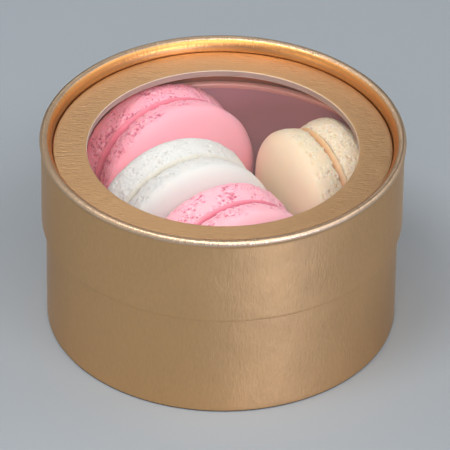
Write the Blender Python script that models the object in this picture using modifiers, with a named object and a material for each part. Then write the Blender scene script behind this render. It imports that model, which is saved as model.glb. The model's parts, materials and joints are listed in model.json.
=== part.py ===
"""Round card box with a shut lid, a round window in the lid and four macarons standing on edge inside.

Frame: +Z up, origin at the middle of the face that the box rests on. The window is seen from -Y.
Sizes below are real millimetres; the meshes are in metres.
"""
import math

import bpy
from mathutils import Matrix, Vector, noise

MM = 0.001
GAP = 0.3

# Lid
LID_RADIUS = 55.0
LID_WALL = 1.1
LID_BOTTOM = 34.7
BOX_HEIGHT = 64.0
RIM_RADIUS = 1.1
RIM_BULGE = 0.45
RIM_WIDTH = 3.3
RIM_STEPS = 5
LEDGE_HEIGHT = 57.0

# Panel set into the top of the lid, and the clear film under its window
PANEL_TOP = 60.0
PANEL_THICKNESS = 2.2
WINDOW_RADIUS = 41.15
FILM_RADIUS = 45.5
FILM_THICKNESS = 0.3

# Base
BASE_HEIGHT = 48.1
BASE_WALL = 2.0
FLOOR_BOTTOM = 1.4
FLOOR_TOP = 2.8
EDGE_ROUND = 0.45

# Macarons, measured from the middle of the filling outwards
WIDEST_HEIGHT = 7.5
FOOT_STEPS = 4
FOOT_INSET = 1.3
FOOT_HEIGHT = 5.0
DOME_STEPS = 7
DOME_SQUARENESS = 0.43
RUFFLE_DEPTH = 0.4
RUFFLE_LENGTH = 2.5
MOST_OUTWARDS = 0.1
DOME_WAVE = 0.15

RING_SIDES = 64
SHELL_SIDES = 40

# One row for each macaron: where its middle is, the way its near shell faces, its radius, how far each
# shell's dome stands from the middle, how thick half of its filling is, by how much that grows towards
# one side, how far the filling stands back, and how much longer the half that it stands on is. Angles
# are in degrees, from +X towards +Y and up.
MACARONS = {
    "rear": dict(centre=(-17.0, 29.5, 30.1), facing=-61.2, lift=4.3, radius=26.4, near=12.9, far=12.4,
                 filling=1.15, wedge=0.75, wedge_side=200, setback=1.6, sag=0.0, seed=1,
                 shell=(0.90, 0.42, 0.50), cream=(0.66, 0.10, 0.16)),
    "middle": dict(centre=(-11.5, -0.1, 29.9), facing=-62.3, lift=0.9, radius=26.7, near=13.0, far=13.8,
                   filling=0.80, wedge=0.10, wedge_side=200, setback=1.5, sag=0.0, seed=2,
                   shell=(0.86, 0.85, 0.82), cream=(0.80, 0.72, 0.60)),
    "front": dict(centre=(2.3, -24.3, 30.7), facing=-59.0, lift=0.0, radius=26.3, near=13.3, far=14.2,
                  filling=0.95, wedge=0.35, wedge_side=200, setback=1.6, sag=0.04, seed=3,
                  shell=(0.90, 0.45, 0.53), cream=(0.68, 0.14, 0.20)),
    "side": dict(centre=(30.3, 16.2, 29.4), facing=-152.6, lift=-1.5, radius=24.1, near=14.1, far=13.9,
                 filling=0.95, wedge=0.30, wedge_side=-30, setback=1.6, sag=0.07, seed=4,
                 shell=(0.88, 0.76, 0.55), cream=(0.80, 0.52, 0.25)),
}


def principled(name, colour, roughness, metallic=0.0, alpha=1.0):
    material = bpy.data.materials.new(name)
    material.use_nodes = True
    shader = material.node_tree.nodes["Principled BSDF"]
    shader.inputs["Base Color"].default_value = (*colour, 1.0)
    shader.inputs["Roughness"].default_value = roughness
    shader.inputs["Metallic"].default_value = metallic
    shader.inputs["Alpha"].default_value = alpha
    return material


def arc(centre, radius, start, end, steps):
    """Points of a round stretch of a section, angles in degrees from +X towards +Z."""
    points = []
    for i in range(steps + 1):
        angle = math.radians(start + (end - start) * i / steps)
        points.append((centre[0] + radius * math.cos(angle), centre[1] + radius * math.sin(angle)))
    return points


def turned(name, section, sides, material, collection, closed=True):
    """A section at +X, in millimetres, that runs down its outer side, turned round the Z axis."""
    mesh = bpy.data.meshes.new(name)
    points = [(r * MM, 0.0, z * MM) for r, z in section]
    edges = [(i, i + 1) for i in range(len(points) - 1)]
    if closed:
        edges.append((len(points) - 1, 0))
    mesh.from_pydata(points, edges, [])
    piece = bpy.data.objects.new(name, mesh)
    collection.objects.link(piece)
    screw = piece.modifiers.new("turn", 'SCREW')
    screw.axis = 'Z'
    screw.steps = sides
    screw.render_steps = sides
    screw.use_merge_vertices = True
    screw.merge_threshold = 0.00001
    screw.use_smooth_shade = True
    mesh.materials.append(material)
    return piece


def lid_wall_section():
    """The lid's tube: lower edge, straight wall, rolled rim, and the ledge that the panel sits in."""
    inner = LID_RADIUS - LID_WALL
    rim_r = LID_RADIUS + RIM_BULGE - RIM_RADIUS
    rim_z = BOX_HEIGHT - RIM_RADIUS
    ledge = LID_RADIUS - RIM_WIDTH
    edge = EDGE_ROUND
    section = arc((rim_r, rim_z), RIM_RADIUS, 90, -20, 4)
    section.append((LID_RADIUS, rim_z - 2.4 * RIM_RADIUS))
    section += arc((LID_RADIUS - edge, LID_BOTTOM + edge), edge, 0, -90, 2)
    section.append((inner, LID_BOTTOM + edge))
    section.append((inner, LEDGE_HEIGHT - LID_WALL))
    section.append((ledge, LEDGE_HEIGHT))
    section.append((ledge, PANEL_TOP))
    for i in range(1, RIM_STEPS):
        angle = math.pi / 2 * i / RIM_STEPS
        inwards = (rim_r - ledge) * math.cos(angle)
        section.append((rim_r - inwards, PANEL_TOP + (BOX_HEIGHT - PANEL_TOP) * math.sin(angle)))
    return section


def panel_section():
    """The card ring set into the lid, from its outer side to the cut edge of the window."""
    outer = LID_RADIUS - RIM_WIDTH - GAP
    bottom = PANEL_TOP - PANEL_THICKNESS
    soft = EDGE_ROUND
    return [(outer - soft, PANEL_TOP), (outer, PANEL_TOP - soft), (outer, bottom), (WINDOW_RADIUS, bottom),
            (WINDOW_RADIUS, PANEL_TOP - soft), (WINDOW_RADIUS + soft, PANEL_TOP)]


def base_wall_section():
    """The base's tube, with a rounded top edge and a rolled lower edge."""
    outer = LID_RADIUS - LID_WALL - GAP
    inner = outer - BASE_WALL
    round_top = 0.45 * BASE_WALL
    edge = EDGE_ROUND
    section = arc((outer - round_top, BASE_HEIGHT - round_top), round_top, 90, 0, 3)
    section += arc((outer - edge, edge), edge, 0, -90, 2)
    section += arc((inner + edge, edge), edge, -90, -180, 2)
    section += arc((inner + round_top, BASE_HEIGHT - round_top), round_top, 180, 90, 3)[:-1]
    return section


def disc_section(radius, bottom, top):
    return [(0.0, top), (radius, top), (radius, bottom), (0.0, bottom)]


def shell_section(radius, half, filling):
    """A shell's section from the top of its dome, out to its widest place and in again to the filling."""
    section = [(0.0, half)]
    for i in range(1, DOME_STEPS + 1):
        angle = math.pi / 2 * (1 - i / DOME_STEPS)
        rise = (half - WIDEST_HEIGHT) * math.sin(angle)
        section.append((radius * math.cos(angle) ** DOME_SQUARENESS, WIDEST_HEIGHT + rise))
    for i in range(1, FOOT_STEPS + 1):
        down = i / FOOT_STEPS
        height = WIDEST_HEIGHT + (filling - WIDEST_HEIGHT) * down
        section.append((radius - FOOT_INSET * down ** 2, height))
    section.append((0.0, filling))
    return section


def filling_section(radius, filling, setback):
    """The cream between the shells, slightly rounded at its edge."""
    level = filling - GAP
    edge = radius - setback
    return [(0.0, level), (edge - 0.5 * level, level), (edge, 0.0), (edge - 0.5 * level, -level), (0.0, -level)]


def roughened(point, spec, side, is_shell):
    """A point of a turned piece, in millimetres, made as uneven as baked meringue."""
    across = math.hypot(point.x, point.y)
    if across < 0.001:
        return point.copy()
    around = Vector((point.x, point.y, 0.0)) / across
    height = abs(point.z)
    seed = Vector((spec["seed"] * 17.0, side * 5.0, 0.0))
    inwards = DOME_WAVE * (0.5 + noise.noise(around * 1.3 + seed))
    up = point.z
    if is_shell:
        foot_top = spec["filling"] + FOOT_HEIGHT
        on_foot = min(1.0, max(0.0, (foot_top - height) / (0.2 * FOOT_HEIGHT)))
        near_edge = min(1.0, max(0.0, (across / spec["radius"] - 0.8) / 0.12))
        at = around * spec["radius"] / RUFFLE_LENGTH + Vector((0.0, 0.0, height / 3)) + seed
        inwards += RUFFLE_DEPTH * on_foot * near_edge * (0.3 - 0.8 * noise.noise(at))
        up += math.copysign(0.2, point.z) * (1 - on_foot) * near_edge * noise.noise(around * 6.0 + seed)
    across -= max(-MOST_OUTWARDS, inwards) * across / spec["radius"]
    sag = 1 + spec["sag"] * max(0.0, -around.y) ** 2
    return Vector((around.x * across, around.y * across * sag, up))


def leaned(point, spec, share):
    """Opens the gap between the shells towards one side; share is 1 at a shell and less in the filling."""
    angle = math.radians(spec["wedge_side"])
    along = (point.x * math.cos(angle) + point.y * math.sin(angle)) / spec["radius"]
    return Vector((point.x, point.y, point.z + share * spec["wedge"] * along))


def placed(name, section, spec, side, is_shell, material, collection, frame):
    """A turned piece of one macaron made uneven, leaned open and set in the macaron's own frame."""
    guide = turned(name + "_section", section, SHELL_SIDES, material, collection, closed=False)
    bpy.context.view_layer.update()
    depsgraph = bpy.context.evaluated_depsgraph_get()
    mesh = bpy.data.meshes.new_from_object(guide.evaluated_get(depsgraph))
    bpy.data.objects.remove(guide, do_unlink=True)
    mesh.name = name
    if side < 0:
        mesh.transform(Matrix.Rotation(math.pi, 4, 'X'))
    for vertex in mesh.vertices:
        point = roughened(vertex.co / MM, spec, side, is_shell)
        share = side if is_shell else math.copysign(1.0, point.z) * min(1.0, abs(point.z) / spec["filling"] * 1.6)
        vertex.co = leaned(point, spec, share) * MM
    mesh.set_sharp_from_angle(angle=math.radians(50))
    piece = bpy.data.objects.new(name, mesh)
    collection.objects.link(piece)
    piece.parent = frame
    return piece


def macaron(key, spec, collection):
    """Two shells and the filling between them, on an empty whose Z axis is the way the front shell faces."""
    frame = bpy.data.objects.new("macaron_" + key + "_frame", None)
    frame.location = Vector(spec["centre"]) * MM
    frame.rotation_euler = (math.radians(90 - spec["lift"]), 0.0, math.radians(spec["facing"] + 90))
    collection.objects.link(frame)
    shell = principled("macaron_" + key + "_shell", spec["shell"], 0.6)
    cream = principled("macaron_" + key + "_cream", spec["cream"], 0.5)
    name = "macaron_" + key
    for side, word in ((1, "near"), (-1, "far")):
        section = shell_section(spec["radius"], spec[word], spec["filling"])
        placed(name + "_shell_" + word, section, spec, side, True, shell, collection, frame)
    section = filling_section(spec["radius"], spec["filling"], spec["setback"])
    placed(name + "_filling", section, spec, 0, False, cream, collection, frame)


def box(collection):
    gold = principled("gold_paper", (0.58, 0.36, 0.18), 0.36, metallic=0.9)
    lining = principled("mauve_lining", (0.33, 0.15, 0.16), 0.6)
    clear = principled("clear_film", (0.95, 0.95, 0.95), 0.05, alpha=0.15)
    turned("lid_wall", lid_wall_section(), RING_SIDES, gold, collection)
    turned("lid_panel", panel_section(), RING_SIDES, gold, collection)
    turned("base_wall", base_wall_section(), RING_SIDES, gold, collection)
    base_inner = LID_RADIUS - LID_WALL - GAP - BASE_WALL
    turned("base_floor", disc_section(base_inner - GAP, FLOOR_BOTTOM, FLOOR_TOP), RING_SIDES, lining,
           collection, closed=False)
    film_top = PANEL_TOP - PANEL_THICKNESS - GAP
    turned("window_film", disc_section(FILM_RADIUS, film_top - FILM_THICKNESS, film_top), RING_SIDES, clear,
           collection, closed=False)


def main():
    for old in list(bpy.data.objects):
        bpy.data.objects.remove(old, do_unlink=True)
    collection = bpy.data.collections.new("macaron_tube_box")
    bpy.context.scene.collection.children.link(collection)
    box(collection)
    for key, spec in MACARONS.items():
        macaron(key, spec, collection)


main()
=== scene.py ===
"""Macaron tube box: gold paper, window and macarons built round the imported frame.

Laid out as an add-on, and run as a script. Lengths are metres, and MM turns millimetres into them.
"""
import json
import math

import bmesh
import bpy
import numpy as np
from bpy.props import FloatProperty, FloatVectorProperty, IntProperty, PointerProperty
from mathutils import Matrix, Vector, noise

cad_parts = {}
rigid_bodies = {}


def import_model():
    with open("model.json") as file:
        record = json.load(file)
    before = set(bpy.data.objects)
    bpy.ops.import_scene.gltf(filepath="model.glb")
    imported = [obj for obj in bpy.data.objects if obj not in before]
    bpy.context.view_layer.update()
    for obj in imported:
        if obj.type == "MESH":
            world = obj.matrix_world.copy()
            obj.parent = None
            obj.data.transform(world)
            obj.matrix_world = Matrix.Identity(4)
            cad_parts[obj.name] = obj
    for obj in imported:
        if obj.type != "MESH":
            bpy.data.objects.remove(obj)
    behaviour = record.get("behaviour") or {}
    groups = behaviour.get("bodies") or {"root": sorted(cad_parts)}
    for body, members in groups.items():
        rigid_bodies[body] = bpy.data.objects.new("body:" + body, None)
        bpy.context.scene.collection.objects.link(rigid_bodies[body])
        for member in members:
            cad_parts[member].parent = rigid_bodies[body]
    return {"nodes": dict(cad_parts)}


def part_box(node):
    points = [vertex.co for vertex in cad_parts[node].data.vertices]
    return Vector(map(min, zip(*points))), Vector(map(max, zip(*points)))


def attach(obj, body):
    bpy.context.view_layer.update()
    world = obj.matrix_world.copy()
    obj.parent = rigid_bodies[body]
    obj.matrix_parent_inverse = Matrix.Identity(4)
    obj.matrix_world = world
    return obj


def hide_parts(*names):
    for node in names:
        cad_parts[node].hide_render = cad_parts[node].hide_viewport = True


bl_info = {
    "name": "Macaron Tube Box",
    "version": (1, 0, 0),
    "blender": (4, 5, 0),
    "location": "View3D > Sidebar > Macaron Box",
    "description": "A round gold paper box with a window lid and macarons standing in it",
    "category": "Object",
}

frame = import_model()
MM = 0.001


def linear(code):
    """An sRGB hex value as the linear colour that the shaders read."""
    channels = [int(code[i:i + 2], 16) / 255 for i in (0, 2, 4)]
    return tuple(c / 12.92 if c <= 0.04045 else ((c + 0.055) / 1.055) ** 2.4 for c in channels)


# Sizes of the box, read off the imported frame
LID_LOW, LID_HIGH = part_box("lid_wall")
PANEL_LOW, PANEL_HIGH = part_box("lid_panel")
BASE_LOW, BASE_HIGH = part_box("base_wall")
FLOOR_LOW, FLOOR_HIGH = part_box("base_floor")
FILM_LOW, FILM_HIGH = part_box("window_film")


def ring_radii(name, low, high):
    """The smallest and largest distance from the axis of a node's vertices between two heights."""
    reach = [math.hypot(v.co.x, v.co.y) for v in frame["nodes"][name].data.vertices if low <= v.co.z <= high]
    return min(reach), max(reach)


WINDOW_RADIUS, PANEL_RADIUS = ring_radii("lid_panel", PANEL_LOW.z, PANEL_HIGH.z)
LID_INNER, LID_OUTER = ring_radii("lid_wall", LID_LOW.z, LID_LOW.z + 1 * MM)
LEDGE_RADIUS, RIM_RADIUS = ring_radii("lid_wall", PANEL_HIGH.z - 4 * MM, LID_HIGH.z)
BASE_INNER, BASE_OUTER = ring_radii("base_wall", 1 * MM, 2 * BASE_HIGH.z)
FLOOR_RADIUS = FLOOR_HIGH.x
FILM_RADIUS = FILM_HIGH.x

# The four macarons. A filling opens by its wedge towards one side, stands back from the shells, and is sunk
# under the near one. The porous feet of the shells reach so high above the middle of the filling, and the
# near one leans higher on the side where the pits crowd. Ruffle is how rough the feet are, and the pits are
# counted for each shell. Angles in degrees from the macaron's own X axis, lengths in millimetres
MACARONS = {
    "rear": dict(kind="pink", seed=1, wedge=0.75, wedge_side=200, setback=1.6, sunk=2.0, ruffle=1.0,
                 near_foot=8.0, far_foot=11.5, lean=1.8, near_pits=620, far_pits=700, crowd=0.65,
                 crowd_side=190),
    "middle": dict(kind="white", seed=2, wedge=0.10, wedge_side=200, setback=1.2, sunk=0.7, ruffle=0.8,
                   near_foot=7.6, far_foot=9.5, lean=1.8, near_pits=320, far_pits=380, crowd=0.60,
                   crowd_side=190),
    "front": dict(kind="pink", seed=3, wedge=0.35, wedge_side=200, setback=1.4, sunk=1.4, ruffle=1.0,
                  near_foot=7.6, far_foot=11.5, lean=0.4, near_pits=420, far_pits=700, crowd=0.30,
                  crowd_side=120),
    "side": dict(kind="cream", seed=4, wedge=0.30, wedge_side=-30, setback=1.4, sunk=0.7, ruffle=0.9,
                 near_foot=8.6, far_foot=11.5, lean=1.2, near_pits=520, far_pits=600, crowd=0.70,
                 crowd_side=-20),
}

# What each kind of macaron is made of: the colours of its foot, its pores, the crumbs round them, its filling
# and the filling's depth, and how much of the pores' colour shows. The pores' darker colour is painted shade
# in their hollows, the filling's deep colour is painted shade under the near shell, and the pink foot's deeper
# tone is painted shade. The glow is how far red, green and blue light wander inside it, in millimetres
KINDS = {
    "pink": dict(slots=("pink_shell", "pink_cream"), cream_name="pink_buttercream", glow=(1.2, 0.6, 0.5),
                 foot="FAAEC4", pore="B0245C", pore_share=0.90, crumbs="FFD6DE", cream="F79CB0",
                 deep="BE3868"),
    "white": dict(slots=("white_shell", "white_cream"), cream_name="vanilla_buttercream",
                  glow=(1.0, 0.9, 0.8), foot="EDECE7", pore="C2BDB4", pore_share=0.60, crumbs="FAFAF7",
                  cream="F2EFE6", deep="DDD6C6"),
    "cream": dict(slots=("cream_shell", "caramel_cream"), cream_name="caramel_buttercream",
                  glow=(1.2, 0.9, 0.5), foot="F6E4C2", pore="DDB67C", pore_share=0.65, crumbs="FDF4E2",
                  cream="F0CE9E", deep="DDA468"),
}


class MACARONBOX_PG_settings(bpy.types.PropertyGroup):
    """Sizes and colours that a user would change."""

    ring_steps: IntProperty(
        name="Ring steps", description="Steps round each turned piece of the box", default=288, min=32)
    shell_steps: IntProperty(
        name="Shell steps", description="Steps round each macaron shell", default=420, min=32)
    wrap_wave: FloatProperty(
        name="Wrap wave", description="How far the glued paper waves in and out", default=0.06 * MM,
        subtype='DISTANCE', unit='LENGTH')
    pit_depth: FloatProperty(
        name="Pit depth", description="How deep the pits in a macaron's foot are", default=0.42 * MM,
        subtype='DISTANCE', unit='LENGTH')
    gold: FloatVectorProperty(
        name="Gold foil", description="Colour of the metallised paper", subtype='COLOR', size=3,
        default=linear("DCA96C"))
    board: FloatVectorProperty(
        name="Board", description="Colour of the card's cut edge", subtype='COLOR', size=3,
        default=linear("A88F80"))
    lining: FloatVectorProperty(
        name="Lining", description="Colour of the paper inside the base", subtype='COLOR', size=3,
        default=linear("C98587"))
    pink: FloatVectorProperty(
        name="Pink shell", description="Colour of the pink macarons", subtype='COLOR', size=3,
        default=linear("FDBCCA"))
    white: FloatVectorProperty(
        name="White shell", description="Colour of the white macaron", subtype='COLOR', size=3,
        default=linear("F1F0EB"))
    cream: FloatVectorProperty(
        name="Cream shell", description="Colour of the cream macaron", subtype='COLOR', size=3,
        default=linear("F6E1C0"))
    stage: FloatVectorProperty(
        name="Stage", description="Colour of the floor", subtype='COLOR', size=3,
        default=linear("A6AEB5"))


def settings():
    """The box's settings in the open scene."""
    return bpy.context.scene.macaron_box


def add(tree, kind, inputs=None, **options):
    """Adds a node with its options. A socket given as an input is linked, and anything else is its value.

    Inputs are named, or numbered where a node repeats a name: a colour Mix node's two colours are 6 and 7.
    """
    made = tree.nodes.new(kind)
    for option, value in options.items():
        setattr(made, option, value)
    for socket, value in (inputs or {}).items():
        if isinstance(value, bpy.types.NodeSocket):
            tree.links.new(value, made.inputs[socket])
        else:
            made.inputs[socket].default_value = value
    return made


def new_material(name):
    """An empty material with its output and a Principled shader, and the tree that holds them."""
    material = bpy.data.materials.new(name)
    material.use_nodes = True
    tree = material.node_tree
    tree.nodes.clear()
    output = add(tree, "ShaderNodeOutputMaterial")
    shader = add(tree, "ShaderNodeBsdfPrincipled")
    tree.links.new(shader.outputs["BSDF"], output.inputs["Surface"])
    return material, tree, shader


# Most values of a noise texture lie between these
NOISE_LOW, NOISE_HIGH = 0.3, 0.7


def grain(tree, place, sizes, detail=3.0, distortion=0.4):
    """Noise whose marks are as large along X, Y and Z as the sizes say, in metres."""
    mapping = add(tree, "ShaderNodeMapping", {"Vector": place, "Scale": [1 / size for size in sizes]})
    return add(tree, "ShaderNodeTexNoise", {
        "Vector": mapping.outputs["Vector"], "Scale": 1.0, "Detail": detail, "Roughness": 0.6,
        "Distortion": distortion}).outputs["Fac"]


def flecked(tree, colour, marks, darkest, lightest):
    """A colour whose brightness follows marks of noise, from darkest times its own to lightest times it."""
    share = add(tree, "ShaderNodeMapRange", {
        "Value": marks, "From Min": NOISE_LOW, "From Max": NOISE_HIGH, "To Min": darkest,
        "To Max": lightest}).outputs["Result"]
    return add(tree, "ShaderNodeHueSaturation", {"Color": colour, "Value": share}).outputs["Color"]


def gold_paper(name, colour, on_tube, sizes, depth, roughness=0.34, metal=1.0):
    """Metallised film laminated to paper: satin gold under a duller clear coat, pressed with a fine grain.

    The sizes are how long the marks of the grain are, and the depth is how deep they are pressed. On a tube
    they follow the paper round it. Marks too fine to show are left out, and the rest are drawn deeper.
    """
    material, tree, shader = new_material(name)
    if on_tube:
        place = add(tree, "ShaderNodeAttribute", attribute_name="wrap").outputs["Vector"]
    else:
        place = add(tree, "ShaderNodeTexCoord").outputs["Object"]
    marks = grain(tree, place, sizes)
    creases = grain(tree, place, [size * 3.1 for size in sizes], detail=2.0, distortion=1.0)
    height = add(tree, "ShaderNodeMath", {0: creases, 1: 0.9, 2: marks},
                 operation='MULTIPLY_ADD').outputs["Value"]
    patch, uneven, coat_depth = 14 * MM, 0.03, 2.5 * depth
    patches = add(tree, "ShaderNodeTexNoise", {"Vector": place, "Scale": 1 / patch, "Detail": 2.0})
    dull = add(tree, "ShaderNodeMapRange", {
        "Value": patches.outputs["Fac"], "From Min": NOISE_LOW, "From Max": NOISE_HIGH,
        "To Min": roughness - uneven, "To Max": roughness + uneven})
    foil = add(tree, "ShaderNodeBump", {"Height": height, "Strength": 1.0, "Distance": depth})
    coat = add(tree, "ShaderNodeBump", {"Height": height, "Strength": 1.0, "Distance": coat_depth})
    tree.links.new(flecked(tree, (*colour, 1.0), marks, 0.95, 1.03), shader.inputs["Base Color"])
    tree.links.new(dull.outputs["Result"], shader.inputs["Roughness"])
    tree.links.new(foil.outputs["Normal"], shader.inputs["Normal"])
    tree.links.new(coat.outputs["Normal"], shader.inputs["Coat Normal"])
    shader.inputs["Metallic"].default_value = metal
    shader.inputs["Specular Tint"].default_value = (0.72, 0.56, 0.38, 1.0)
    shader.inputs["Coat Weight"].default_value = 1.0
    shader.inputs["Coat Roughness"].default_value = 0.45
    shader.inputs["Coat IOR"].default_value = 1.6
    return material


def grey_board(name, colour, speck, plies=0.0):
    """Pulp board and liner paper: dull, flecked by its fibres, and streaked by its plies where it is cut."""
    material, tree, shader = new_material(name)
    place = add(tree, "ShaderNodeTexCoord").outputs["Object"]
    if plies:
        fibre = grain(tree, place, [6 * MM, 6 * MM, plies], detail=2.0)
    else:
        fibre = grain(tree, place, [0.7 * MM] * 3, detail=4.0)
    bump = add(tree, "ShaderNodeBump", {"Height": fibre, "Strength": 0.6, "Distance": 0.04 * MM})
    tree.links.new(flecked(tree, (*colour, 1.0), fibre, 1 - speck, 1 + speck), shader.inputs["Base Color"])
    tree.links.new(bump.outputs["Normal"], shader.inputs["Normal"])
    shader.inputs["Roughness"].default_value = 0.6
    return material


def clear_film():
    """Thin clear polyester: next to nothing but its gloss shows."""
    material, _, shader = new_material("clear_film")
    shader.inputs["Base Color"].default_value = (0.95, 0.95, 0.95, 1.0)
    shader.inputs["Roughness"].default_value = 0.04
    shader.inputs["Alpha"].default_value = 0.03
    return material


def pores(tree, place, spacing, widest):
    """Round pores, over 1 in their middle and 0 outside, with radii of up to widest times their spacing."""
    cells = add(tree, "ShaderNodeTexVoronoi", {"Vector": place, "Scale": 1 / spacing, "Randomness": 1.0})
    chance = add(tree, "ShaderNodeSeparateColor", {"Color": cells.outputs["Color"]}).outputs["Red"]
    reach = add(tree, "ShaderNodeMapRange", {
        "Value": chance, "From Min": 0.0, "From Max": 1.0, "To Min": 0.001,
        "To Max": widest}).outputs["Result"]
    return add(tree, "ShaderNodeMapRange", {
        "Value": cells.outputs["Distance"], "From Min": reach, "From Max": 0.0, "To Min": 0.0,
        "To Max": 1.6}).outputs["Result"]


def meringue(name, colour, made):
    """Baked almond meringue: a satin dome, and a porous foot whose pores are painted darker than its skin, as
    shade.
    """
    material, tree, shader = new_material(name)
    place = add(tree, "ShaderNodeTexCoord").outputs["Object"]
    foot, pit, toast = [add(tree, "ShaderNodeAttribute", attribute_name=word).outputs["Fac"]
                        for word in ("foot", "pit", "toast")]

    # Pinholes too small for the mesh join its pits. Their outlines wander, so that none is quite round
    pore_spacing, widest, wander = 0.90 * MM, 0.42, 0.35 * MM
    bent = add(tree, "ShaderNodeTexNoise", {"Vector": place, "Scale": 1 / (1.2 * MM), "Detail": 2.0})
    shift = add(tree, "ShaderNodeVectorMath", {0: bent.outputs["Color"], 1: (wander,) * 3},
                operation='MULTIPLY').outputs["Vector"]
    shifted = add(tree, "ShaderNodeVectorMath", {0: place, 1: shift}, operation='ADD').outputs["Vector"]
    pinholes = add(tree, "ShaderNodeMath", {0: pores(tree, shifted, pore_spacing, widest), 1: foot},
                   operation='MULTIPLY', use_clamp=True).outputs["Value"]
    hollow = add(tree, "ShaderNodeMath", {0: pinholes, 1: pit}, operation='MAXIMUM').outputs["Value"]

    # From the skin's colour to the foot's, then pale crumbs, darker pores and toasted patches. The darker
    # pores are painted shade in their hollows, and on the pink shells the foot's deeper colour is painted
    # shade too
    crumb = grain(tree, place, [0.8 * MM] * 3, detail=4.0)
    pale_crumb = add(tree, "ShaderNodeMapRange", {
        "Value": crumb, "From Min": NOISE_LOW, "From Max": NOISE_HIGH, "To Min": -0.6,
        "To Max": 1.0}).outputs["Result"]
    pale = add(tree, "ShaderNodeMath", {0: pale_crumb, 1: foot}, operation='MULTIPLY',
               use_clamp=True).outputs["Value"]
    pore_shade = add(tree, "ShaderNodeMath", {0: hollow, 1: made["pore_share"]},
               operation='MULTIPLY').outputs["Value"]
    shown = (*colour, 1.0)
    for share, tone in ((foot, made["foot"]), (pale, made["crumbs"]), (pore_shade, made["pore"]),
                        (toast, "B87A3C")):
        shown = add(tree, "ShaderNodeMix", {0: share, 6: shown, 7: (*linear(tone), 1.0)},
                    data_type='RGBA').outputs[2]

    crust = add(tree, "ShaderNodeMath", {0: crumb, 1: foot}, operation='MULTIPLY').outputs["Value"]
    height = add(tree, "ShaderNodeMath", {0: pinholes, 1: -1.0, 2: crust},
                 operation='MULTIPLY_ADD').outputs["Value"]
    bump = add(tree, "ShaderNodeBump", {"Height": height, "Strength": 0.7, "Distance": 0.2 * MM})
    tree.links.new(shown, shader.inputs["Base Color"])
    tree.links.new(bump.outputs["Normal"], shader.inputs["Normal"])
    shader.inputs["Roughness"].default_value = 0.5
    shader.inputs["Specular IOR Level"].default_value = 0.35
    glowing(shader, made["glow"])
    return material


def buttercream(name, made):
    """Whipped filling: soft, a little moist and lumpy, with painted shade where it is under the near shell."""
    material, tree, shader = new_material(name)
    place = add(tree, "ShaderNodeTexCoord").outputs["Object"]
    deep = add(tree, "ShaderNodeAttribute", attribute_name="deep").outputs["Fac"]
    lumps = grain(tree, place, [1.2 * MM] * 3)
    # Towards the near shell the colour runs to its deeper tone, painted shade
    shaded = add(tree, "ShaderNodeMix", {
        0: deep, 6: (*linear(made["cream"]), 1.0), 7: (*linear(made["deep"]), 1.0)},
        data_type='RGBA').outputs[2]
    bump = add(tree, "ShaderNodeBump", {"Height": lumps, "Strength": 0.5, "Distance": 0.12 * MM})
    tree.links.new(flecked(tree, shaded, lumps, 0.94, 1.04), shader.inputs["Base Color"])
    tree.links.new(bump.outputs["Normal"], shader.inputs["Normal"])
    shader.inputs["Roughness"].default_value = 0.42
    glowing(shader, made["glow"])
    return material


def glowing(shader, glow):
    """Lets light wander in a material as far as the glow says, in millimetres for red, green and blue."""
    shader.inputs["Subsurface Weight"].default_value = 0.5
    shader.inputs["Subsurface Radius"].default_value = [reach * MM for reach in glow]
    shader.inputs["Subsurface Scale"].default_value = 1.0


def bow(centre, radius, start, end, steps):
    """Points of a round stretch of a section, angles in degrees from +X towards +Z."""
    angles = [math.radians(start + (end - start) * i / steps) for i in range(steps + 1)]
    return [(centre[0] + radius * math.cos(a), centre[1] + radius * math.sin(a)) for a in angles]


def run(start, end, steps):
    """Points of a straight stretch of a section, without its first one."""
    return [(start[0] + (end[0] - start[0]) * i / steps, start[1] + (end[1] - start[1]) * i / steps)
            for i in range(1, steps + 1)]


def turned(section, steps, closed=True):
    """A bmesh of a section, given as distance from the axis and height, spun round the Z axis."""
    bm = bmesh.new()
    corners = [bm.verts.new((across, 0.0, height)) for across, height in section]
    pairs = list(zip(corners, corners[1:])) + ([(corners[-1], corners[0])] if closed else [])
    edges = [bm.edges.new(pair) for pair in pairs]
    bmesh.ops.spin(bm, geom=corners + edges, cent=(0, 0, 0), axis=(0, 0, 1), angle=2 * math.pi, steps=steps,
                   use_merge=True)
    bmesh.ops.remove_doubles(bm, verts=bm.verts, dist=0.001 * MM)
    bmesh.ops.recalc_face_normals(bm, faces=bm.faces)
    return bm


def disc(radius, low, high):
    """A bmesh of a flat round disc between two heights."""
    bm = bmesh.new()
    bmesh.ops.create_cone(bm, cap_ends=True, cap_tris=False, segments=settings().ring_steps // 2,
                          radius1=radius, radius2=radius, depth=high - low)
    bmesh.ops.translate(bm, vec=(0, 0, (high + low) / 2), verts=bm.verts)
    return bm


def wrapped(bm, radius):
    """Stores where each point lies on paper wrapped round a tube: its place moved out or in to one radius."""
    wrap = bm.verts.layers.float_vector.new("wrap")
    for vert in bm.verts:
        reach = radius / max(math.hypot(vert.co.x, vert.co.y), MM)
        vert[wrap] = (vert.co.x * reach, vert.co.y * reach, vert.co.z)


def waved(bm, depth, length, low, high):
    """Lets glued paper wave in and out between two heights: wide waves of the depth, and finer ones."""
    for vert in bm.verts:
        across = math.hypot(vert.co.x, vert.co.y)
        if low <= vert.co.z <= high and across > 0:
            shift = depth * noise.noise(vert.co / length)
            shift += 0.4 * depth * noise.noise(vert.co / (0.35 * length))
            vert.co.x += shift * vert.co.x / across
            vert.co.y += shift * vert.co.y / across


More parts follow.
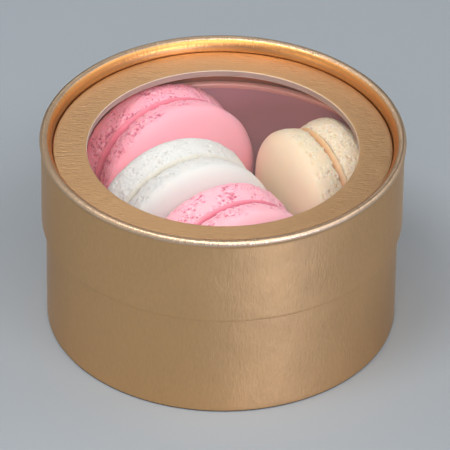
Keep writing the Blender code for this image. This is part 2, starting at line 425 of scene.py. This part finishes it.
def finished(bm, name, node, materials, sharp=40):
    """Turns a bmesh into a smooth shaded piece that stands for a node of the frame."""
    mesh = bpy.data.meshes.new(name)
    bm.to_mesh(mesh)
    bm.free()
    mesh.shade_smooth()
    mesh.set_sharp_from_angle(angle=math.radians(sharp))
    for material in materials:
        mesh.materials.append(material)
    piece = bpy.data.objects.new(name, mesh)
    bpy.context.scene.collection.objects.link(piece)
    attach(piece, "root")
    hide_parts(node)
    return piece


# How long the grain of the foil on the tubes is, round and up them, and how long the waves of its paper are
WRAP_GRAIN = (0.75 * MM, 0.75 * MM, 2.2 * MM)
WRAP_GRAIN_DEPTH = 0.060 * MM
WAVE_LENGTH = 9 * MM


class MACARONBOX_OT_lid(bpy.types.Operator):
    """Makes the lid's wrapped tube and the panel with the window"""

    bl_idname = "macaron_box.lid"
    bl_label = "Lid"

    def execute(self, context):
        gold = settings().gold
        wall = gold_paper("foil_wrap", gold, True, WRAP_GRAIN, WRAP_GRAIN_DEPTH)
        # On the rolled rim the foil is drawn paler, which is painted highlight, and creased along its height
        stretched = (0.60 * MM, 0.60 * MM, 7.0 * MM)
        rim = gold_paper("foil_rim_painted_highlight", linear("E6C29C"), True, stretched, 0.20 * MM, roughness=0.32)
        # In the groove round the panel gold mirrors gold, which deepens it to orange. The foil there is also
        # coloured a deeper orange, which is painted reflection
        slope = gold_paper("foil_slope_painted_reflection", linear("EFA14B"), True, stretched, 0.10 * MM)
        # Pressed flat, the panel's foil has the grain of leather, longer from left to right
        face = gold_paper("foil_panel", gold, False, (1.9 * MM, 0.42 * MM, 0.42 * MM), 0.11 * MM)
        # The window's cut edge shows the plies of the board. On the steep part of its rounded top a strip of
        # pale cream paper is painted highlight: the thin bright line of light along the cut
        board = grey_board("grey_board", settings().board, 0.16, plies=0.30 * MM)
        highlight_strip = grey_board("cut_edge_painted_highlight", linear("D8C4A8"), 0.06)
        self.wall(wall, rim, slope)
        self.panel(face, board, highlight_strip)
        return {'FINISHED'}

    def wall(self, wall, rim, slope):
        bead = 1.1 * MM
        middle = (RIM_RADIUS - bead, LID_HIGH.z - bead)
        below = middle[1] - 0.9 * bead
        edge = 0.4 * MM
        ledge_low, ledge_high = PANEL_LOW.z - 1.9 * MM, PANEL_LOW.z - 0.8 * MM
        section = bow(middle, bead, 90, -20, 12)
        section += run(section[-1], (LID_OUTER, below), 2)
        section += run(section[-1], (LID_OUTER, LID_LOW.z + edge), 40)
        section += bow((LID_OUTER - edge, LID_LOW.z + edge), edge, -15, -90, 5)
        section += run(section[-1], (LID_INNER, LID_LOW.z), 1)
        section += run(section[-1], (LID_INNER, ledge_low), 8)
        section += run(section[-1], (LEDGE_RADIUS, ledge_high), 3)
        section += run(section[-1], (LEDGE_RADIUS, PANEL_HIGH.z), 3)
        width, rise, steps = middle[0] - LEDGE_RADIUS, LID_HIGH.z - PANEL_HIGH.z, 16
        for i in range(1, steps):
            angle = math.pi / 2 * i / steps
            section.append((middle[0] - width * math.cos(angle), PANEL_HIGH.z + rise * math.sin(angle)))
        bm = turned(section, settings().ring_steps)
        wrapped(bm, LID_OUTER)
        # Above the wall the rim's foil is drawn paler, painted highlight, and the inner half of its slope
        # orange, painted reflection
        for part in bm.faces:
            at = part.calc_center_median()
            if at.z > below:
                part.material_index = 2 if math.hypot(at.x, at.y) < middle[0] - width / 2 else 1
        waved(bm, settings().wrap_wave, WAVE_LENGTH, LID_LOW.z, LID_HIGH.z)
        finished(bm, "lid_wrap", "lid_wall", [wall, rim, slope])

    def panel(self, face, board, highlight_strip):
        soft, round_reach = 0.30 * MM, 0.45 * MM
        steep = math.sin(math.radians(52))
        top = PANEL_HIGH.z
        section = [(PANEL_RADIUS - soft, top)]
        section += bow((PANEL_RADIUS - soft, top - soft), soft, 70, 0, 4)
        section += run(section[-1], (PANEL_RADIUS, PANEL_LOW.z), 3)
        section += run(section[-1], (WINDOW_RADIUS, PANEL_LOW.z), 3)
        section += run(section[-1], (WINDOW_RADIUS, top - soft), 5)
        steps = 8
        for i in range(1, steps + 1):
            angle = math.pi / 2 * i / steps
            section.append((WINDOW_RADIUS + round_reach * (1 - math.cos(angle)),
                            top - soft + soft * math.sin(angle)))
        section += run(section[-1], (PANEL_RADIUS - soft, top), 14)[:-1]
        bm = turned(section, settings().ring_steps)
        for part in bm.faces:
            middle = part.calc_center_median()
            across = math.hypot(middle.x, middle.y)
            cut = across < WINDOW_RADIUS + 0.1 * MM and middle.z < top - soft
            if cut or middle.z < PANEL_LOW.z + 0.01 * MM:
                part.material_index = 1
            # The steep part of the rounded top gets the pale strip, painted highlight along the cut
            elif across < WINDOW_RADIUS + round_reach and part.normal.z < steep:
                part.material_index = 2
        finished(bm, "lid_top", "lid_panel", [face, board, highlight_strip])


class MACARONBOX_OT_film(bpy.types.Operator):
    """Makes the clear film glued under the panel"""

    bl_idname = "macaron_box.film"
    bl_label = "Window film"

    def execute(self, context):
        bm = disc(FILM_RADIUS, FILM_LOW.z, FILM_HIGH.z)
        finished(bm, "film_pane", "window_film", [clear_film()])
        return {'FINISHED'}


class MACARONBOX_OT_base(bpy.types.Operator):
    """Makes the base's tube, wrapped outside and lined inside, and its floor"""

    bl_idname = "macaron_box.base"
    bl_label = "Base"

    def execute(self, context):
        wall = gold_paper("foil_base_wrap", settings().gold, True, WRAP_GRAIN, WRAP_GRAIN_DEPTH)
        # Turned in over the tube's edge, the foil is a pale copper pink with little metal: painted reflection
        # of the lining and the macarons, and painted light where the panel shades it
        rim = gold_paper("foil_turned_in_painted_reflection", linear("FFB49C"), True, (0.50 * MM, 0.50 * MM, 7.0 * MM),
                         0.060 * MM, roughness=0.36, metal=0.2)
        # Matt mauve paper inside, and a dark brown strip round the edge that the tube stands on: painted
        # shadow where it meets the floor
        lining = grey_board("liner_paper", settings().lining, 0.04)
        under = grey_board("turned_under_painted_shadow", linear("5E3F22"), 0.05)
        self.tube(wall, rim, lining, under)
        self.floor(lining, wall)
        return {'FINISHED'}

    def tube(self, wall, rim, lining, under):
        low, edge = BASE_LOW.z, 0.7 * MM
        lip = 0.5 * (BASE_OUTER - BASE_INNER)
        turn_in = BASE_HIGH.z - lip - 0.7 * MM
        recess = 0.2 * MM
        section = bow((BASE_OUTER - lip, BASE_HIGH.z - lip), lip, 90, 0, 8)
        section += run(section[-1], (BASE_OUTER, low + edge), 40)
        section += bow((BASE_OUTER - edge, low + edge), edge, -15, -90, 5)
        section += bow((BASE_INNER + edge, low + edge), edge, -90, -180, 5)
        section += run(section[-1], (BASE_INNER + recess, low + 2 * edge), 1)
        section += run(section[-1], (BASE_INNER + recess, turn_in - recess), 12)
        section += run(section[-1], (BASE_INNER, turn_in), 2)
        section += run(section[-1], (BASE_INNER, BASE_HIGH.z - lip), 2)
        section += bow((BASE_INNER + lip, BASE_HIGH.z - lip), lip, 170, 100, 7)
        bm = turned(section, settings().ring_steps)
        wrapped(bm, BASE_OUTER)
        waved(bm, settings().wrap_wave, WAVE_LENGTH, low + edge, BASE_HIGH.z - 2 * lip)
        for part in bm.faces:
            middle = part.calc_center_median()
            # The foil turned in over the top is pale copper pink, painted reflection
            if middle.z > turn_in - 0.1 * MM:
                part.material_index = 1
            # The rounded edge at the bottom is dark brown, painted shadow where the tube meets the floor
            elif middle.z < low + 0.85 * edge:
                part.material_index = 3
            elif math.hypot(middle.x, middle.y) < BASE_INNER + 2 * recess:
                part.material_index = 2
        finished(bm, "base_wrap", "base_wall", [wall, rim, lining, under])

    def floor(self, lining, wrap):
        bm = disc(FLOOR_RADIUS, FLOOR_LOW.z, FLOOR_HIGH.z)
        rims = [e for e in bm.edges if len(e.link_faces) == 2 and e.calc_face_angle() > 1]
        bmesh.ops.bevel(bm, geom=rims, offset=0.2 * MM, affect='EDGES', segments=2, profile=0.5, material=-1)
        for part in bm.faces:
            part.material_index = 1 if part.normal.z < -0.5 else 0
        finished(bm, "base_disc", "base_floor", [lining, wrap])


# The form that all shells share. Their flat sides lie this much further out than the faces of the solid
# filling, and baking lifts no point further than this out of the smooth form
GAP = 0.3 * MM
MOST_OUTWARDS = 0.1 * MM
# How high above the middle of the filling a shell is widest, how far its foot draws in from there, and how
# round its lip is
WIDEST_HEIGHT = 7.5 * MM
FOOT_INSET = 1.3 * MM
LIP = 0.35 * MM
# A power under 1 makes the dome fuller than a ball, and one over 1 crowds its rows towards the widest place
DOME_FULLNESS = 0.43
DOME_CROWDING = 1.4


def corners_of(node):
    """The different corners of a node's triangles, and how many triangles share each."""
    corners = np.array([v.co for v in frame["nodes"][node].data.vertices])
    return np.unique(np.round(corners, 6), axis=0, return_counts=True)


def dome_top(node, middle, facing):
    """The top of a shell's dome: of the two corners that most triangles share, the one further out."""
    places, shares = corners_of(node)
    return max(places[np.argsort(shares)[-2:]], key=lambda place: abs((place - middle) @ facing))


def macaron_size(key):
    """A macaron's own frame, with Z the way its near shell faces, and its sizes off the frame's solids."""
    name = "macaron_" + key
    cream, _ = corners_of(name + "_filling")
    middle = cream.mean(axis=0)
    thin_way = np.linalg.svd(cream - middle)[2][2]
    near, far = [dome_top(name + "_shell_" + word, middle, thin_way) for word in ("near", "far")]
    facing = Vector(near - far).normalized()
    centre = Vector(far) + facing * facing.dot(Vector(middle - far))
    sideways = Vector((0, 0, 1)).cross(facing).normalized()
    turn = Matrix((sideways, facing.cross(sideways), facing)).transposed()
    shells = np.concatenate([corners_of(name + "_shell_" + word)[0] for word in ("near", "far")])
    local = (shells - np.array(centre)) @ np.array(turn)
    radius = float(np.hypot(local[:, 0], local[:, 1])[local[:, 1] > 0].max())
    heights = np.abs((cream - np.array(centre)) @ np.array(facing))
    return dict(place=Matrix.Translation(centre) @ turn.to_4x4(), radius=radius,
                sag=max(0.0, float(-local[:, 1].min()) / radius - 1.0),
                near=(Vector(near) - centre).length, far=(Vector(far) - centre).length,
                filling=float(heights[heights > 0.05 * MM].mean()) + GAP)


def shell_section(radius, half, filling):
    """A shell's section from the top of its dome, out to its widest place and in again to the filling."""
    dome_steps, foot_steps = 34, 26
    section = [(0.0, half)]
    for i in range(1, dome_steps + 1):
        angle = math.pi / 2 * (1 - i / dome_steps) ** DOME_CROWDING
        section.append((radius * math.cos(angle) ** DOME_FULLNESS,
                        WIDEST_HEIGHT + (half - WIDEST_HEIGHT) * math.sin(angle)))
    for i in range(1, foot_steps + 1):
        down = i / foot_steps
        height = WIDEST_HEIGHT + (filling + LIP - WIDEST_HEIGHT) * down
        section.append((radius - FOOT_INSET * down ** 2, height))
    section += bow((radius - FOOT_INSET - LIP, filling + LIP), LIP, -20, -90, 3)
    return section + [(radius - 7 * MM, filling), (0.0, filling)]


def ramp(values, low, high):
    """0 up to low, 1 from high, and even between them."""
    return np.clip((values - low) / (high - low), 0.0, 1.0)


def lattice_noise(points, seed):
    """Noise from -1 to 1 for an array of points, smooth over a unit of length."""
    low = np.floor(points).astype(np.int64)
    share = points - low
    share = share * share * (3 - 2 * share)
    total = np.zeros(len(points))
    for corner in np.ndindex(2, 2, 2):
        cell = (low + corner) * (73856093, 19349663, 83492791)
        code = cell[:, 0] ^ cell[:, 1] ^ cell[:, 2] ^ (seed * 7919)
        code = (code ^ (code >> 13)) * 1274126177
        value = ((code ^ (code >> 16)) & 0xFFFF) / 0x7FFF - 1
        total += value * np.prod(np.where(corner, share, 1 - share), axis=1)
    return total


def pitted(points, chance, pits, seed):
    """How deep each point lies in a pit, from 0 to 1: round hollows of uneven size, drawn where chance is."""
    smallest, wider = 0.24, 0.46
    draw = np.random.default_rng(seed)
    inside = np.flatnonzero(chance > 0.02)
    places = points[inside]
    centres = draw.choice(len(places), size=pits, p=chance[inside] / chance[inside].sum())
    depth = np.zeros(len(places))
    for centre, large in zip(places[centres], draw.random(pits)):
        reach = smallest + wider * large ** 3
        away = np.sqrt(((places - centre) ** 2).sum(axis=1)) / reach
        depth = np.maximum(depth, (1 - away ** 2) * (0.55 + 0.45 * large))
    whole = np.zeros(len(points))
    whole[inside] = depth
    return whole


def baked(points, look, size, word):
    """What baking does to a shell's points, in millimetres: how far each moves in, and what shows there."""
    seed = look["seed"] * 10 + (word == "far")
    radius, filling = size["radius"] / MM, size["filling"] / MM
    across = np.hypot(points[:, 0], points[:, 1])
    around = np.column_stack([points[:, :2] / np.maximum(across, 0.001)[:, None], np.zeros(len(points))])
    height = np.abs(points[:, 2])
    outside = ramp(across / radius, 0.80, 0.90)
    side = math.radians(look["crowd_side"])
    sidewards = around[:, 0] * math.cos(side) + around[:, 1] * math.sin(side)

    # The porous foot, with a wandering upper edge and smooth patches, its pits and what is toasted in it
    edge = look[word + "_foot"] + 1.1 * lattice_noise(around * 5, seed)
    edge += 0.7 * lattice_noise(around * 17, seed + 1)
    if word == "near":
        edge += look["lean"] * sidewards
    patchy = ramp(lattice_noise(points / 3.2, seed + 2), -0.75, -0.1)
    foot = ramp(edge - height, -0.8, 1.8) * outside * patchy
    crowd = 1 + look["crowd"] * sidewards
    pit = pitted(points, foot * crowd, look[word + "_pits"], seed)
    toast = np.zeros(len(points))
    if look["kind"] == "cream" and word == "near":
        toast = ramp(lattice_noise(points / 2.1, seed + 3), 0.05, 0.4) * ramp(crowd, 1.4, 1.55) * foot

    # Wide shallow waves over the whole shell, ripples and pits in the foot, and a ragged lip at the filling
    waves = 0.15 * (0.5 + lattice_noise(around * 1.8, seed + 4)) + 0.12 * lattice_noise(points / 7, seed + 5)
    ripple = sum(depth * lattice_noise(points / length, seed + 6) for depth, length in
                 ((0.20, 2.6), (0.14, 1.3), (0.09, 0.7)))
    inwards = waves * ramp(across / radius, 0.5, 0.8)
    inwards += foot * look["ruffle"] * (0.08 - ripple) + foot * pit * settings().pit_depth / MM
    lip = ramp(filling + 1.3 - height, 0.0, 1.2) * outside
    ragged = 0.28 * lattice_noise(around * 12, seed + 7) + 0.20 * lattice_noise(around * 34, seed + 8)
    inwards += lip * (0.12 + ragged)
    return np.maximum(inwards, -MOST_OUTWARDS / MM), {"foot": foot, "pit": pit * foot, "toast": toast}


def settled(points, look, size, share):
    """Opens the gap towards one side, by share of its wedge, and lets the half that it stands on sag."""
    angle = math.radians(look["wedge_side"])
    radius = size["radius"] / MM
    along = (points[:, 0] * math.cos(angle) + points[:, 1] * math.sin(angle)) / radius
    across = np.maximum(np.hypot(points[:, 0], points[:, 1]), 0.001)
    down = np.maximum(0.0, -points[:, 1] / across)
    return np.column_stack([points[:, 0], points[:, 1] * (1 + size["sag"] * down ** 2),
                            points[:, 2] + share * look["wedge"] * along])


def surface(bm):
    """A bmesh's points in millimetres, and its normals there."""
    bm.normal_update()
    points = np.array([vert.co for vert in bm.verts]) / MM
    return points, np.array([vert.normal for vert in bm.verts])


def moved(bm, points, layers):
    """Moves a bmesh's points to these places in millimetres, and stores a value there for each layer."""
    for vert, place in zip(bm.verts, points * MM):
        vert.co = place
    for name, values in layers.items():
        layer = bm.verts.layers.float.new(name)
        for vert, value in zip(bm.verts, values):
            vert[layer] = value


class MACARONBOX_OT_macarons(bpy.types.Operator):
    """Makes each macaron's two shells and its filling"""

    bl_idname = "macaron_box.macarons"
    bl_label = "Macarons"

    def execute(self, context):
        shells, creams = {}, {}
        for kind, made in KINDS.items():
            shells[kind] = meringue(kind + "_meringue", getattr(settings(), kind), made)
            creams[kind] = buttercream(made["cream_name"], made)
        for key, look in MACARONS.items():
            size = macaron_size(key)
            shell_slot, cream_slot = KINDS[look["kind"]]["slots"]
            for word in ("near", "far"):
                self.shell(key, word, look, size, shells[look["kind"]], shell_slot)
            self.filling(key, look, size, creams[look["kind"]], cream_slot)
        return {'FINISHED'}

    def shell(self, key, word, look, size, material, slot):
        side = 1 if word == "near" else -1
        section = shell_section(size["radius"], size[word], size["filling"])
        bm = turned(section, settings().shell_steps, closed=False)
        if side < 0:
            bmesh.ops.rotate(bm, cent=(0, 0, 0), matrix=Matrix.Rotation(math.pi, 3, 'X'), verts=bm.verts)
        points, normals = surface(bm)
        inwards, shown = baked(points, look, size, word)
        moved(bm, settled(points - normals * inwards[:, None], look, size, side), shown)
        bm.transform(size["place"])
        node = "macaron_" + key + "_shell_" + word
        finished(bm, "meringue_" + key + "_" + word, node, [material], sharp=75)

    def filling(self, key, look, size, material, slot):
        level = size["filling"] - 0.05 * MM
        edge = size["radius"] - look["setback"] * MM
        inner = edge - 3 * MM
        brim, steps = 0.2 * MM, 8
        section = [(0.0, level), (inner, level)]
        for i in range(steps + 1):
            down = i / steps
            sunk = (look["sunk"] * MM + brim) * (1 - down) ** 2
            section.append((edge + brim - sunk, level * (1 - 2 * down)))
        section += [(inner, -level), (0.0, -level)]
        bm = turned(section, settings().shell_steps // 2, closed=False)
        points, normals = surface(bm)
        lumps = 0.16 * lattice_noise(points / 2.4, look["seed"]) + 0.08 * lattice_noise(points, look["seed"])
        outside = ramp(np.hypot(points[:, 0], points[:, 1]), 20.0, 22.0)
        points -= normals * (outside * (0.05 - lumps))[:, None]
        points = settled(points, look, size, np.clip(points[:, 2] * MM / level, -1.0, 1.0))
        # deep runs from 0 on the far side to 1 under the near shell, where the filling's painted shade is
        moved(bm, points, {"deep": ramp(points[:, 2] * MM / level, -0.8, 0.9)})
        bm.transform(size["place"])
        finished(bm, "buttercream_" + key, "macaron_" + key + "_filling", [material], sharp=75)


class MACARONBOX_OT_stage(bpy.types.Operator):
    """Makes the floor, the lights and the camera"""

    bl_idname = "macaron_box.stage"
    bl_label = "Stage"

    def execute(self, context):
        self.floor()
        self.world()
        self.lights()
        self.camera()
        view = context.scene.view_settings
        view.view_transform = 'Standard'
        view.look = 'None'
        return {'FINISHED'}

    def floor(self):
        """A wide dull floor that casts no shadow, so that a lamp below its level still lights the foil."""
        bm = bmesh.new()
        bmesh.ops.create_grid(bm, x_segments=1, y_segments=1, size=3.0)
        mesh = bpy.data.meshes.new("table")
        bm.to_mesh(mesh)
        bm.free()
        material, _, shader = new_material("table_paper")
        shader.inputs["Base Color"].default_value = (*settings().stage, 1.0)
        shader.inputs["Roughness"].default_value = 0.85
        mesh.materials.append(material)
        table = bpy.data.objects.new("table", mesh)
        bpy.context.scene.collection.objects.link(table)
        table.visible_shadow = False

    def world(self):
        """Light from the studio's walls, strongest from straight right and left and none from the middle."""
        from_right, from_left = 0.65, 0.55
        world = bpy.data.worlds.new("studio")
        world.use_nodes = True
        tree = world.node_tree
        sky = tree.nodes["Background"]
        place = add(tree, "ShaderNodeTexCoord").outputs["Generated"]
        sideways = add(tree, "ShaderNodeSeparateXYZ", {"Vector": place}).outputs["X"]
        total = 0.0
        for way, most in ((1.0, from_right), (-1.0, from_left)):
            share = add(tree, "ShaderNodeMapRange", {
                "Value": sideways, "From Min": 0.0, "From Max": way, "To Min": 0.0,
                "To Max": most}).outputs["Result"]
            total = add(tree, "ShaderNodeMath", {0: share, 1: total}, operation='ADD').outputs["Value"]
        tree.links.new(total, sky.inputs["Strength"])
        sky.inputs["Color"].default_value = (1.0, 1.0, 1.0, 1.0)
        bpy.context.scene.world = world

    def softbox(self, name, azimuth, elevation, light, away=1.0, size=(0.40, 0.40), colour="FFFFFF",
                only=None, shadow=True):
        """A lamp aimed at the box: azimuth in degrees from the camera's side, positive to the right.

        The light is how bright it makes a white surface at the box that faces it. Only says the first words
        of the names of the pieces that it shines on, if not on all.
        """
        data = bpy.data.lights.new(name, 'AREA')
        data.shape = 'RECTANGLE'
        data.size, data.size_y = size
        data.energy = math.pi ** 2 * light * away ** 2
        data.color = linear(colour)
        data.use_shadow = shadow
        turn, rise = math.radians(azimuth), math.radians(elevation)
        way = Vector((math.cos(rise) * math.sin(turn), -math.cos(rise) * math.cos(turn), math.sin(rise)))
        lamp = bpy.data.objects.new(name, data)
        lamp.location = Vector((0, 0, 0.05)) + way * away
        lamp.rotation_euler = (-way).to_track_quat('-Z', 'Y').to_euler()
        bpy.context.scene.collection.objects.link(lamp)
        if only:
            lit = bpy.data.collections.new("lit_by_" + name)
            for piece in bpy.data.objects:
                if piece.type == 'MESH' and piece.name.startswith(only):
                    lit.objects.link(piece)
            lamp.light_linking.receiver_collection = lit

    def lights(self):
        self.softbox("key", -45, 68, 0.365, size=(0.35, 0.35))
        self.softbox("left", -90, 45, 0.060)
        self.softbox("right", 90, 45, 0.090)
        self.softbox("front", 0, 41, 0.215, size=(0.45, 0.40))
        self.softbox("front_right", 35, 52, 0.216)
        self.softbox("low_left", -52, 12, 0.054, away=0.8, size=(0.25, 0.25))
        self.softbox("behind_left", -155, 55, 0.075, away=0.4, size=(0.15, 0.15))
        self.softbox("behind", 175, 32, 0.026, away=0.35, size=(0.12, 0.12))

        # The cool band of sheen down the wall and over the panel
        cool, foil = "CFD9FF", ("lid_", "base_wrap")
        self.softbox("sheen", 31, 15, 0.46, 0.8, (0.36, 0.20), cool, foil)
        self.softbox("low_sheen", 31, -12, 0.44, 0.8, (0.36, 0.20), cool, foil)
        self.softbox("panel_sheen", -178, 42, 0.05, 0.35, (0.12, 0.12), cool, ("lid_top",))

        # The warm light that wanders inside the macarons and from one to the next
        rear, front, side = [("meringue_" + key, "buttercream_" + key) for key in ("rear", "front", "side")]
        self.softbox("rear_bounce", -20, 60, 0.32, 0.8, colour="FF3038", only=rear, shadow=False)
        self.softbox("front_bounce", -20, 60, 0.36, 0.8, colour="F8C8B0", only=front, shadow=False)
        self.softbox("side_bounce", -60, 50, 0.06, 0.8, colour="FF9040", only=side, shadow=False)

    def camera(self):
        """The photo's view: a long lens from above the front, rolled a little."""
        elevation, distance, roll = math.radians(35.70), 1.650, 0.0134
        look_height = 27.5 * MM
        aim = Vector((0.96, 1.57, 29.70)) * MM
        data = bpy.data.cameras.new("camera")
        data.sensor_width = 36.0
        data.lens = 431.7
        data.clip_start, data.clip_end = 0.05, 20.0
        camera = bpy.data.objects.new("camera", data)
        camera.location = (0, -distance * math.cos(elevation), distance * math.sin(elevation) + look_height)
        turn = (aim - camera.location).to_track_quat('-Z', 'Y').to_matrix()
        camera.rotation_euler = (turn @ Matrix.Rotation(roll, 3, 'Z')).to_euler()
        bpy.context.scene.collection.objects.link(camera)
        bpy.context.scene.camera = camera


class MACARONBOX_PT_sidebar(bpy.types.Panel):
    """Lists the box's settings and the operators that build it"""

    bl_label = "Macaron Box"
    bl_space_type = 'VIEW_3D'
    bl_region_type = 'UI'
    bl_category = "Macaron Box"

    def draw(self, context):
        for name in MACARONBOX_PG_settings.__annotations__:
            self.layout.prop(context.scene.macaron_box, name)
        for operator in OPERATORS:
            self.layout.operator(operator.bl_idname)


OPERATORS = (MACARONBOX_OT_lid, MACARONBOX_OT_film, MACARONBOX_OT_base, MACARONBOX_OT_macarons,
             MACARONBOX_OT_stage)
CLASSES = (MACARONBOX_PG_settings, *OPERATORS, MACARONBOX_PT_sidebar)


def register():
    for made in CLASSES:
        bpy.utils.register_class(made)
    bpy.types.Scene.macaron_box = PointerProperty(type=MACARONBOX_PG_settings)


def unregister():
    del bpy.types.Scene.macaron_box
    for made in reversed(CLASSES):
        bpy.utils.unregister_class(made)


def main():
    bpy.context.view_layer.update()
    register()
    bpy.ops.macaron_box.lid()
    bpy.ops.macaron_box.film()
    bpy.ops.macaron_box.base()
    bpy.ops.macaron_box.macarons()
    bpy.ops.macaron_box.stage()


if __name__ == "__main__":
    main()
